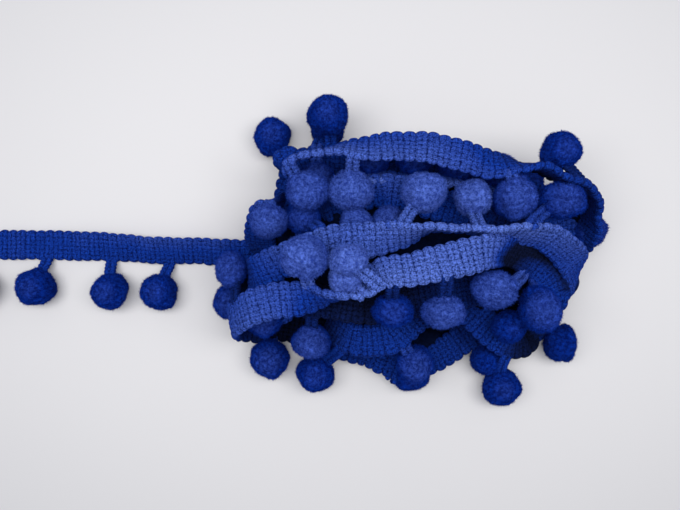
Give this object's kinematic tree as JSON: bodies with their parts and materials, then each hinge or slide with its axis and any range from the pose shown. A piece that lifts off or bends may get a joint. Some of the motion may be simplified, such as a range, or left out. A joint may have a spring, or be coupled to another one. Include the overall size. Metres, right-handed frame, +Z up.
{
  "type": "pompom fringe trim",
  "caption": "Knitted trim with scalloped edges and a row of round pompoms on short stems, wound into a loose hank with one end lying free.",
  "frame": {"origin": "middle of the hank on the surface it rests on", "axes": "+X along the turns, away from the loose end; +Y towards the back; +Z up"},
  "size_m": [0.2286, 0.1053, 0.0532],
  "materials": {
    "heading_yarn": "matt knitted yarn",
    "pompom_yarn": "matt clipped yarn"
  },
  "bodies": {
    "root": {"wound_heading": "heading_yarn", "loose_heading": "heading_yarn", "pompom_loose_1": "pompom_yarn", "pompom_loose_2": "pompom_yarn", "pompom_loose_3": "pompom_yarn", "pompom_loose_4": "pompom_yarn", "pompom_back_1": "pompom_yarn", "pompom_back_2": "pompom_yarn", "pompom_back_3": "pompom_yarn", "pompom_back_4": "pompom_yarn", "pompom_back_5": "pompom_yarn", "pompom_top_1": "pompom_yarn", "pompom_top_2": "pompom_yarn", "pompom_top_3": "pompom_yarn", "pompom_top_4": "pompom_yarn", "pompom_top_5": "pompom_yarn", "pompom_top_6": "pompom_yarn", "pompom_top_7": "pompom_yarn", "pompom_top_8": "pompom_yarn", "pompom_top_9": "pompom_yarn", "pompom_top_10": "pompom_yarn", "pompom_left_1": "pompom_yarn", "pompom_left_2": "pompom_yarn", "pompom_left_3": "pompom_yarn", "pompom_crown_1": "pompom_yarn", "pompom_crown_2": "pompom_yarn", "pompom_crown_3": "pompom_yarn", "pompom_front_1": "pompom_yarn", "pompom_front_2": "pompom_yarn", "pompom_front_3": "pompom_yarn", "pompom_front_4": "pompom_yarn", "pompom_front_5": "pompom_yarn", "pompom_front_6": "pompom_yarn", "pompom_front_7": "pompom_yarn", "pompom_front_8": "pompom_yarn", "pompom_front_9": "pompom_yarn", "pompom_front_10": "pompom_yarn", "pompom_front_11": "pompom_yarn", "pompom_front_12": "pompom_yarn", "pompom_front_13": "pompom_yarn", "pompom_front_14": "pompom_yarn", "pompom_rear_1": "pompom_yarn", "pompom_rear_2": "pompom_yarn", "pompom_rear_3": "pompom_yarn", "pompom_rear_4": "pompom_yarn", "pompom_rear_5": "pompom_yarn", "pompom_rear_6": "pompom_yarn", "pompom_rear_7": "pompom_yarn", "pompom_rear_8": "pompom_yarn"}
  },
  "joints": []
}
